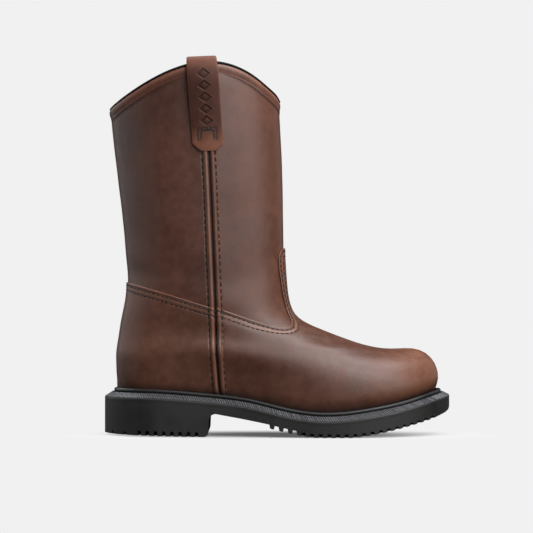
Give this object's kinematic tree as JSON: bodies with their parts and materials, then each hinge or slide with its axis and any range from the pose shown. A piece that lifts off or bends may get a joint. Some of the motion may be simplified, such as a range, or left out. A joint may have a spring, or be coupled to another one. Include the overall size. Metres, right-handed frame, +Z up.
{
  "type": "pull-on work boot",
  "caption": "Tall pull-on leather work boot for the right foot, with a hollow shaft and foot, an arched bound collar, side pull loops and a rubber sole with heel and lugs.",
  "frame": {"origin": "centre of the boot's footprint, at floor level under the sole", "axes": "+X towards the toe, +Y towards the inner side of the foot, +Z up the shaft"},
  "size_m": [0.3102, 0.116, 0.3344],
  "materials": {
    "upper_leather": "oiled, satin",
    "binding_leather": "oiled, satin",
    "loop_leather": "oiled, satin",
    "sole_rubber": "matt",
    "welt_rubber": "satin",
    "insole_fabric": "woven",
    "lining": "smooth",
    "thread": "waxed"
  },
  "bodies": {
    "root": {"outsole": "sole_rubber", "welt": "welt_rubber", "insole": "insole_fabric", "upper": "upper_leather", "collar_binding": "binding_leather", "pull_loop_outer": "loop_leather", "pull_loop_inner": "loop_leather", "side_piping_outer": "binding_leather", "side_piping_inner": "binding_leather"}
  },
  "joints": []
}
